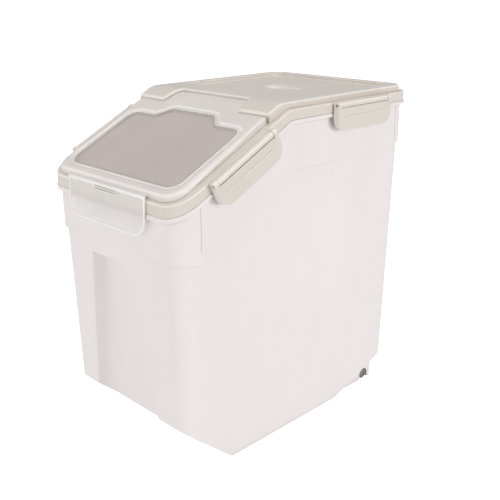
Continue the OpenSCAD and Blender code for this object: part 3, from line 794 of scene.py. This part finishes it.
def make_collar(end, foot, reach):
    bm = bmesh.new()
    x, y, radius = COLLAR
    outline = box_outline(x, -y, y, radius)
    outside = moved(lower_edge(COLLAR_EDGE_R), 0, foot)
    inside = -COLLAR_INSIDE
    bands(bm, outline, outside + [(0, TUB_TOP), (inside, TUB_TOP), (inside, foot)], closed=True)
    cut_plane(bm, (0, end * reach, 0), (0, -end, 0), True)
    cut_below_rim(bm, WALLS_END, True)
    name = "tub_collar_front" if end < 0 else "tub_collar_rear"
    return add_piece(name, bm, "tub", bevel=0.5, crease=50)


def make_side_panel(side, word):
    bm = bmesh.new()
    front, rear = -COLLARS[0][2] - PANEL_UNDER, COLLARS[1][2] + PANEL_UNDER
    low = []
    for i in range(PANEL_STRIPS + 1):
        y = front + (rear - front) * i / PANEL_STRIPS
        low.append((y, roof(y, 0, 0, BEND_R) - PANEL_DROP))
    high = [(y, z + PANEL_DROP + WALLS_END) for y, z in reversed(low)]
    prism(bm, side * PANEL_INSIDE, side * PANEL_X, low + high)
    return add_piece(f"tub_side_panel_{word}", bm, "tub", bevel=0.4, crease=50)


def make_side_rib(side, word):
    """A narrow rib beside the front collar, which leaves a slit below the flange."""
    bm = bmesh.new()
    front, rear, proud = RIB
    ends = [(y, roof(y, 0, 0, BEND_R)) for y in (front, rear)]
    low = [(y, z - RIB_DROP) for y, z in ends]
    high = [(y, z + WALLS_END) for y, z in reversed(ends)]
    prism(bm, side * PANEL_INSIDE, side * (PANEL_X + proud), low + high)
    return add_piece(f"tub_rib_{word}", bm, "tub", bevel=0.5, crease=50)


for end, foot, reach in COLLARS:
    make_collar(end, foot, reach)
for side, word in SIDES:
    make_side_panel(side, word)
    make_side_rib(side, word)

# %% [markdown]
# The flange is what the lid's skirt stands on and what the latches hook under.
# The rim rises inside the skirt and keeps the lid from sliding.

# %% Tub flange and rim
FLANGE = (136, 226, 32)
RIM = (130.4, 220.1, 27.5)
RIM_UP = 8
FLANGE_EDGE_R = 1.2
RIM_EDGE_R = 1
BEND_CUTS = (-54, -27, 12)


def frame_outline(x, y, radius):
    """A rounded box that reaches as far back as it does forward."""
    return box_outline(x, -y, y, radius)


def make_flange():
    bm = bmesh.new()
    outer = frame_outline(*FLANGE)
    low = moved(lower_edge(FLANGE_EDGE_R, 3), 0, FLANGE_LOW)
    high = moved(edge_round(FLANGE_EDGE_R, 3), 0, FLANGE_HIGH)
    loops = bands(bm, outer, low + high)
    hole = bands(bm, frame_outline(*RIM), [(-TUB_WALL, FLANGE_LOW), (-TUB_WALL, FLANGE_HIGH)])
    flat(bm, loops[0], hole[0])
    flat(bm, loops[-1], hole[-1])
    slice_across(bm, *BEND_CUTS)
    drape(bm)
    return add_piece("tub_flange", bm, "tub", crease=50)


def make_rim():
    bm = bmesh.new()
    outside = moved(edge_round(RIM_EDGE_R, 3), 0, RIM_UP)
    profile = [(0, FLANGE_LOW)] + outside + [(-TUB_WALL, RIM_UP), (-TUB_WALL, FLANGE_LOW)]
    bands(bm, frame_outline(*RIM), profile, closed=True)
    slice_across(bm, *BEND_CUTS)
    drape(bm)
    return add_piece("tub_rim", bm, "tub", crease=50)


make_flange()
make_rim()

# %% [markdown]
# Under each rear corner a block is moulded on, with a round arch for the wheel.
# The arch opens outwards, and the wall on its inner side holds the axle.

# %% Wheel housings
HOUSING_X = (86, 115)
HOUSING_Y = (108, 183.6)
HOUSING_FOOT = 1
HOUSING_INTO_TUB = 1
ARCH_X = 100.4
ARCH_R = 9.5
ARCH_SIDES = 16
WHEEL_Y = 166.9
WHEEL_R = 8.1


def make_wheel_housing(side, word):
    bm = bmesh.new()
    (y0, z0), (y1, z1) = FOOT_REAR
    roof_z = [z0 + (y - y0) * (z1 - z0) / (y1 - y0) + HOUSING_INTO_TUB for y in HOUSING_Y]
    box = [
        (HOUSING_Y[1], HOUSING_FOOT), (HOUSING_Y[1], roof_z[1]),
        (HOUSING_Y[0], roof_z[0]), (HOUSING_Y[0], HOUSING_FOOT),
    ]
    arch = [
        (WHEEL_Y - ARCH_R * math.cos(a), WHEEL_R + ARCH_R * math.sin(a))
        for a in [math.pi * i / ARCH_SIDES for i in range(ARCH_SIDES + 1)]
    ]
    feet = [(WHEEL_Y - ARCH_R, HOUSING_FOOT)] + arch + [(WHEEL_Y + ARCH_R, HOUSING_FOOT)]
    prism(bm, side * HOUSING_X[0], side * ARCH_X, box)
    prism(bm, side * ARCH_X, side * HOUSING_X[1], box + feet)
    return add_piece(f"wheel_housing_{word}", bm, "tub", bevel=0.5, crease=50)


for side, word in SIDES:
    make_wheel_housing(side, word)

# %% [markdown]
# ## Lid
# The lid frame is one moulding too, in a warm grey. Its deck has a mouth with a
# low upstand that keeps rice from running out under the flap. The raised back
# carries a sunk panel with a dish for the fingers, and two lugs hold the flap's
# hinge pins.

# %% Lid deck
SKIRT = (SKIRT_X, FRONT_Y, REAR_Y, SKIRT_R)
DECK_EDGE_R = 2
MOUTH = (111.4, 26.8, 173.6, 22)
MOUTH_ROOT_R = 1
UPSTAND_T = 2.2
UPSTAND_H = 17.5
PAD = (127.8, 217, 24)
STRIP_Y = -39.8


def square_to_slope(x, s, h):
    """A place that is s along the rim line, for a wall square to it."""
    return (x, on_slope(s, h)[0], h)


def make_lid_deck():
    bm = bmesh.new()
    edge = moved(edge_round(DECK_EDGE_R), 0, DECK_H)
    skirt = bands(bm, box_outline(*SKIRT), [(0, 0)] + edge)
    root = moved(root_round(MOUTH_ROOT_R), UPSTAND_T, DECK_H)
    mouth = bands(
        bm, box_outline(*MOUTH), root + [(UPSTAND_T, UPSTAND_H)], place=square_to_slope
    )
    x, rear, radius = PAD
    opening = bands(
        bm, both_sides([(x, STRIP_Y + LID_WALL, 2 * LID_WALL), (x, rear, radius)]),
        [(-LID_WALL, DECK_H)],
    )
    flat(bm, skirt[-1], mouth[0], opening[0])
    slice_across(bm, *BEND_CUTS)
    drape(bm)
    return add_piece("lid_deck", bm, "lid_frame", wall=LID_WALL)


make_lid_deck()

# %% [markdown]
# The raised back is drawn flat as well, but it is draped over a line of its own:
# the lugs stand a little higher above the slope than the back does above the
# flat. Its lowest points are laid into the deck, and the lugs' front faces lean
# so that they stay square to the slope.

# %% Raised back
LUG_H = 25.5
PAD_H = 22
PAD_BEND_R = 40
PAD_FOOT = 0
LUG_S = 183.4
GAP_X = (74, 67)
GAP_R = 7
LUG_CORNER_R = (1, 2)
PAD_EDGE_R = 3.2
PANEL = (111, -2, 201.6, 13.5)
PANEL_DEPTH = 5.4
PANEL_EDGE_R = 1.2
DISH = (33.3, 23.4, 94.5)
DISH_DEPTH = 4.5
DISH_SIDES = 48
DISH_STEPS = ((1.0, 0), (0.985, 0.4), (0.97, 3), (0.93, DISH_DEPTH))
FINGER_SLOT = (19.8, 92, 100.5, 2)
FINGER_DEPTH = 9
FINGER_EDGE = (0.4, 0.5)
BACK_CUTS = (-60, -38, 10)


def drape_back(bm):
    face_y = on_slope(LUG_S, LUG_H)[0]
    lean = on_slope(LUG_S, DECK_H)[0] - face_y
    for v in bm.verts:
        if v.co.z <= PAD_FOOT:
            if v.co.y < face_y + 1:
                v.co.y += lean
            v.co.z = roof(v.co.y, DECK_H, DECK_H, BEND_R + DECK_H) - LID_WALL / 2
        else:
            v.co.z += roof(v.co.y, LUG_H, PAD_H, PAD_BEND_R) - PAD_H


def make_raised_back():
    bm = bmesh.new()
    face_y = on_slope(LUG_S, LUG_H)[0]
    x, rear, radius = PAD
    outline = both_sides([
        (GAP_X[1], STRIP_Y, GAP_R), (GAP_X[0], face_y, LUG_CORNER_R[0]),
        (x, face_y, LUG_CORNER_R[1]), (x, rear, radius),
    ])
    outside = bands(bm, outline, [(0, PAD_FOOT)] + moved(edge_round(PAD_EDGE_R), 0, PAD_H))
    floor_h = PAD_H - PANEL_DEPTH
    panel_top = down_a_hole(moved(edge_round(PANEL_EDGE_R), 0, PAD_H))
    panel_foot = down_a_hole(moved(root_round(PANEL_EDGE_R), 0, floor_h))
    panel = bands(bm, box_outline(*PANEL), panel_top + panel_foot)
    flat(bm, outside[-1], panel[0])
    rx, ry, cy = DISH
    dish = []
    for scale, depth in DISH_STEPS:
        stand = Matrix.Translation((0, cy, floor_h - depth)) @ Matrix.Diagonal(
            (rx * scale, ry * scale, 1, 1)
        )
        made = bmesh.ops.create_circle(bm, segments=DISH_SIDES, radius=1, matrix=stand)
        dish.append(list({e for v in made["verts"] for e in v.link_edges}))
    for high, low in zip(dish, dish[1:]):
        bmesh.ops.bridge_loops(bm, edges=high + low)
    flat(bm, panel[-1], dish[0])
    dish_h = floor_h - DISH_DEPTH
    out, down = FINGER_EDGE
    slot = bands(
        bm, box_outline(*FINGER_SLOT),
        [(out, dish_h), (0, dish_h - down), (0, floor_h - FINGER_DEPTH)],
    )
    flat(bm, dish[-1], slot[0])
    flat(bm, slot[-1])
    slice_across(bm, *BACK_CUTS)
    drape_back(bm)
    return add_piece("lid_raised_back", bm, "lid_frame", wall=LID_WALL)


make_raised_back()

# %% [markdown]
# Small parts of the same moulding: the barrels that the latches turn on, the bar
# that the front tab hooks over, the ribs that hold the seal, the bosses of the
# flap's pins, and two gate marks in the panel where the plastic entered the mould.

# %% Latch barrels
LATCH_AXIS = (141.3, 9.6)
LATCH_REAR_Y = 99.7
LATCH_FRONT_S = 115.2
BARREL_R = 4.5
BARREL_HALF = 50.25
WEB = (-1.5, 3.5)
latch_places = {
    "rear": Matrix.Translation((0, LATCH_REAR_Y, RIM_Z_REAR)),
    "front": LID @ Matrix.Translation((0, LATCH_FRONT_S, 0)),
}
for row, stand in latch_places.items():
    for side, word in SIDES:
        bm = bmesh.new()
        x, h = LATCH_AXIS
        bar(bm, (side * x, -BARREL_HALF, h), (side * x, BARREL_HALF, h), BARREL_R)
        inner, outer = sorted((side * (SKIRT_X - LID_WALL / 2), side * x))
        block(bm, (inner, -BARREL_HALF, h + WEB[0]), (outer, BARREL_HALF, h + WEB[1]))
        bmesh.ops.transform(bm, matrix=stand, verts=bm.verts)
        add_piece(f"latch_barrel_{row}_{word}", bm, "lid_frame", bevel=0.4, crease=40)


# %% Catch bar, seal ribs, pin bosses and gate marks
CATCH_X = 22.5
CATCH_Z = (364.5, 366.9, 368, 370.4)
CATCH_Y = -228.1
CATCH_STEP = 0.5
HINGE_S = 209.3
HINGE_H = 16.4
TAB_TOP = (-227.3, 373.6)
FLAP_PIN_REACH = 82
BOSS_R = 3.6
BOSS_FROM = GAP_X[1] + 0.8
SEAL = (126.3, 216.5, 24)
SEAL_RIB = [(0, 4), (0, 11.5), (-1.6, 11.5), (-1.6, 4)]
GATE_MARKS = ((-63.5, 105), (40, 187.1))
GATE_R = 1.6
GATE_H = (-0.5, 0.25)

bm = bmesh.new()
prism(bm, -CATCH_X, CATCH_X, [
    (FRONT_Y, CATCH_Z[0]), (FRONT_Y - CATCH_STEP, CATCH_Z[1]),
    (CATCH_Y, CATCH_Z[2]), (CATCH_Y, CATCH_Z[3]),
    (FRONT_Y + LID_WALL / 2, CATCH_Z[3]), (FRONT_Y + LID_WALL / 2, CATCH_Z[0]),
])
add_piece("catch_bar", bm, "lid_frame", bevel=0.3, crease=40)

bm = bmesh.new()
bands(bm, frame_outline(*SEAL), SEAL_RIB, closed=True)
slice_across(bm, *BEND_CUTS)
drape(bm)
add_piece("seal_ribs", bm, "lid_frame", crease=50)

hinge = LID @ Matrix.Translation((0, HINGE_S, HINGE_H))
bm = bmesh.new()
for side in (-1, 1):
    bar(bm, (side * BOSS_FROM, 0, 0), (side * FLAP_PIN_REACH, 0, 0), BOSS_R)
bmesh.ops.transform(bm, matrix=hinge, verts=bm.verts)
add_piece("pin_bosses", bm, "lid_frame", bevel=0.3, crease=40)

bm = bmesh.new()
panel_z = RIM_Z_REAR + PAD_H - PANEL_DEPTH
for x, y in GATE_MARKS:
    bar(bm, (x, y, panel_z + GATE_H[0]), (x, y, panel_z + GATE_H[1]), GATE_R, sides=24)
add_piece("gate_marks", bm, "lid_frame", bevel=0.15, crease=40)

# %% [markdown]
# ## Flap
# The flap is clear plastic with a frosted look, so that what is below shows as a
# shade only. Around the sunk window runs a narrow ridge and a groove before the
# border rises to its full height: the groove stiffens the thin window. The rise
# ends 8 mm from the window, because a wider ring would come so close to the
# flap's own edge that the flat between them could no longer be filled. Towards
# the hinge the flap's rounded edge fades out. The same plastic carries the hinge
# barrel at the back and the nose lip over the tab.

# %% Flap shell
FLAP_X = 124.2
FLAP_S = (12, 182.8)
FLAP_R = 23.4
FLAP_H = 21.6
FLAP_FOOT = 13.4
FLAP_WALL = 2
FLAP_SHEET = FLAP_WALL - 0.2
FLAP_EDGE_R = 7
FLAP_SHOULDER_R = 4
TONGUE = ((73, 182.8), (66.8, 204.7), 8)
WINDOW = [(108, 30.2, 17), (108, 151, 14), (60, 151, 8), (42, 170, 10)]
EDGE_FADES = (150, 172)
EDGE_FADES_BY = 0.85
WINDOW_ROOT_R = 1.2
WINDOW_H = 15.3
BORDER_RISE = [(8, 21.6), (7.4, 21.4), (6.6, 20.8), (5.8, 20), (5, 19.5), (4.2, 19.3)]
RIDGE = [(3.2, 19.3), (2.6, 19.5), (1.8, 20.1), (1, 20.2), (0.3, 19.9), (0, 19.3)]


def make_flap_shell():
    bm = bmesh.new()
    outline = both_sides([
        (FLAP_X, FLAP_S[0], FLAP_R), (FLAP_X, FLAP_S[1], FLAP_SHOULDER_R),
        (*TONGUE[0], 0), (*TONGUE[1], TONGUE[2]),
    ])
    outside = bands(bm, outline, [(0, FLAP_FOOT)] + moved(edge_round(FLAP_EDGE_R, 6), 0, FLAP_H))
    start, end = EDGE_FADES
    rounded = {vert for loop in outside[1:] for edge in loop for vert in edge.verts}
    for v in rounded:
        share = min(max((v.co.y - start) / (end - start), 0), 1)
        v.co.z = FLAP_H - (FLAP_H - v.co.z) * (1 - EDGE_FADES_BY * share)
    window = bands(bm, both_sides(WINDOW), BORDER_RISE + RIDGE)
    flat(bm, outside[-1], window[0])
    bmesh.ops.transform(bm, matrix=LID, verts=bm.verts)
    return add_piece("flap_shell", bm, "flap", wall=FLAP_SHEET)


def make_flap_window():
    """The sunk window, whose wall grows upwards from WINDOW_H; its darker finish is painted shade
    of the bin's inside.
    """
    bm = bmesh.new()
    foot = down_a_hole(moved(root_round(WINDOW_ROOT_R), 0, WINDOW_H))
    window = bands(bm, both_sides(WINDOW), RIDGE[-1:] + foot)
    flat(bm, window[-1])
    bmesh.ops.transform(bm, matrix=LID, verts=bm.verts)
    return add_piece("flap_window", bm, "flap", wall=FLAP_SHEET, look="clear_window_painted_shade")


make_flap_shell()
make_flap_window()

# %% Flap barrel and nose
FLAP_BARREL = (66, 58, 3)
TAB_X = 79.2
NOSE_UNDER = TAB_TOP[1] + 1.4
NOSE_FACE = TAB_TOP[0] + 0.3

bm = bmesh.new()
reach, half, radius = FLAP_BARREL
bar(bm, (-reach, 0, 0), (reach, 0, 0), radius)
block(bm, (-half, TONGUE[1][1] - 1 - HINGE_S, radius - FLAP_WALL), (half, 0, radius))
bmesh.ops.transform(bm, matrix=hinge, verts=bm.verts)
add_piece("flap_barrel", bm, "flap", bevel=0.3, crease=40)

bm = bmesh.new()
top_y, top_z = on_slope(FLAP_S[0], FLAP_H)
prism(bm, -TAB_X, TAB_X, [
    (top_y + 3, top_z - 1.6), (top_y + 0.4, top_z - 3), (NOSE_FACE, NOSE_UNDER + 0.6),
    (NOSE_FACE, NOSE_UNDER), (top_y + 3.6, NOSE_UNDER),
])
add_piece("flap_nose", bm, "flap", bevel=0.3, crease=40)

# %% [markdown]
# ## Front tab
# The tab hangs on a round bead under the flap's nose. Its plate is thin, with a
# raised rim whose whiter finish is a painted highlight, and the slot snaps over the catch bar.

# %% Front tab
TAB_LOW = (-229.8, 323.1)
TAB_T = 1.7
TAB_R = 22.5
TAB_SLOT = (23, (366.6, 371), 0.8)
TAB_PLATE = -2.5
TAB_SUNK = 0.6
SLOT_FRAME = 1.5
BEAD_R = 1.1
TAB_OUTLINE = both_sides([(TAB_X, TAB_LOW[1], TAB_R), (TAB_X, TAB_TOP[1], 0.5)])
SLOT_OUTLINE = both_sides([(TAB_SLOT[0], z, TAB_SLOT[2]) for z in TAB_SLOT[1]])


def on_tab(x, z, out):
    """A place on the leaning tab: out is the distance in front of its face."""
    share = (z - TAB_LOW[1]) / (TAB_TOP[1] - TAB_LOW[1])
    return (x, TAB_LOW[0] + (TAB_TOP[0] - TAB_LOW[0]) * share - out, z)


def make_tab_rim():
    """The raised rim of the tab, with the bead that it hangs on; its whiter finish is a painted
    highlight.
    """
    bm = bmesh.new()
    outside = [(0, -TAB_T)] + edge_round(TAB_SUNK, 3)
    inside = [(TAB_PLATE + TAB_SUNK, 0), (TAB_PLATE, -TAB_SUNK), (TAB_PLATE, -TAB_T)]
    bands(bm, TAB_OUTLINE, outside + inside, place=on_tab, closed=True)
    y, z = TAB_TOP
    bar(bm, (-TAB_X, y + BEAD_R, z), (TAB_X, y + BEAD_R, z), BEAD_R)
    return add_piece("tab_rim", bm, "front_tab", crease=40, look="clear_edge_painted_highlight")


def make_slot_frame():
    """The raised frame of the tab's slot; its whiter finish is a painted highlight."""
    bm = bmesh.new()
    profile = [
        (0, -TAB_T), (0, -0.3), (0.3, 0), (1, 0),
        (SLOT_FRAME, -TAB_SUNK), (SLOT_FRAME, -TAB_T),
    ]
    bands(bm, SLOT_OUTLINE, profile, place=on_tab, closed=True)
    return add_piece("tab_slot_frame", bm, "front_tab", crease=40, look="clear_edge_painted_highlight")


def make_tab_plate():
    """The thin plate between the rim and the slot's frame."""
    bm = bmesh.new()
    thickness = (-TAB_T, -TAB_SUNK)
    plate = bands(bm, TAB_OUTLINE, [(TAB_PLATE, h) for h in thickness], place=on_tab)
    slot = bands(bm, SLOT_OUTLINE, [(SLOT_FRAME, h) for h in thickness], place=on_tab)
    for i in range(2):
        flat(bm, plate[i], slot[i])
    return add_piece("tab_plate", bm, "front_tab", crease=40, look="clear_tab")


make_tab_rim()
make_slot_frame()
make_tab_plate()

# %% [markdown]
# ## Latches, pins, seals and wheels
# These are small moulded or turned shapes that the CAD already has in full. Each
# piece is a merged copy of its CAD solid with softened edges.

# %% Dressed CAD solids
MERGE_WITHIN = 0.002 * MM


def dress(node, width):
    """A merged copy of a CAD node with softened edges, standing for the node."""
    bm = bmesh.new()
    bm.from_mesh(frame["nodes"][node].data)
    bmesh.ops.remove_doubles(bm, verts=bm.verts, dist=MERGE_WITHIN)
    bmesh.ops.dissolve_limit(bm, angle_limit=FLAT_WITHIN, verts=bm.verts, edges=bm.edges)
    bmesh.ops.scale(bm, verts=bm.verts, vec=(1 / MM, 1 / MM, 1 / MM))
    bmesh.ops.translate(bm, verts=bm.verts, vec=(0, -SHIFT_Y, 0))
    return add_piece(node + "_dressed", bm, node, bevel=width, crease=28)


EDGE_OF = {"latch": 0.4, "wheel": 0.5, "seal": 0.4, "pin": 0.2}
for node in sorted(frame["nodes"]):
    if node in ("tub", "lid_frame", "flap", "front_tab"):
        continue
    kind = node.split("_")[0]
    if "pin" in node or "axle" in node:
        kind = "pin"
    elif "gasket" in node:
        kind = "seal"
    dress(node, EDGE_OF[kind])

# %% [markdown]
# A latch is held by hand: the top edge of its plate is thickened where it lies
# against the barrel, and a fine bead marks the lower edge of the hand rest.

# %% Latch lips and beads
LIP = [(1, -7.6), (4.2, -7.6), (4.2, -3.2), (1, -4.95)]
BEAD = [(4.2, -14.7), (5.1, -15.9), (4.2, -18)]
BEAD_HALF = 42.5


def side_bar(bm, side, profile, half):
    """A straight bar on one side of the bin, from corners around the latch axis."""
    x, h = LATCH_AXIS
    corners = [bm.verts.new((side * (x + out), -half, h + up)) for out, up in profile]
    far_end = bmesh.ops.extrude_face_region(bm, geom=[bm.faces.new(corners)])["geom"]
    verts = [v for v in far_end if isinstance(v, bmesh.types.BMVert)]
    bmesh.ops.translate(bm, verts=verts, vec=(0, 2 * half, 0))


for row, stand in latch_places.items():
    for side, word in SIDES:
        bm = bmesh.new()
        side_bar(bm, side, LIP, BARREL_HALF)
        side_bar(bm, side, BEAD, BEAD_HALF)
        bmesh.ops.transform(bm, matrix=stand, verts=bm.verts)
        add_piece(f"latch_lip_{row}_{word}", bm, f"latch_{row}_{word}", bevel=0.2, crease=40)
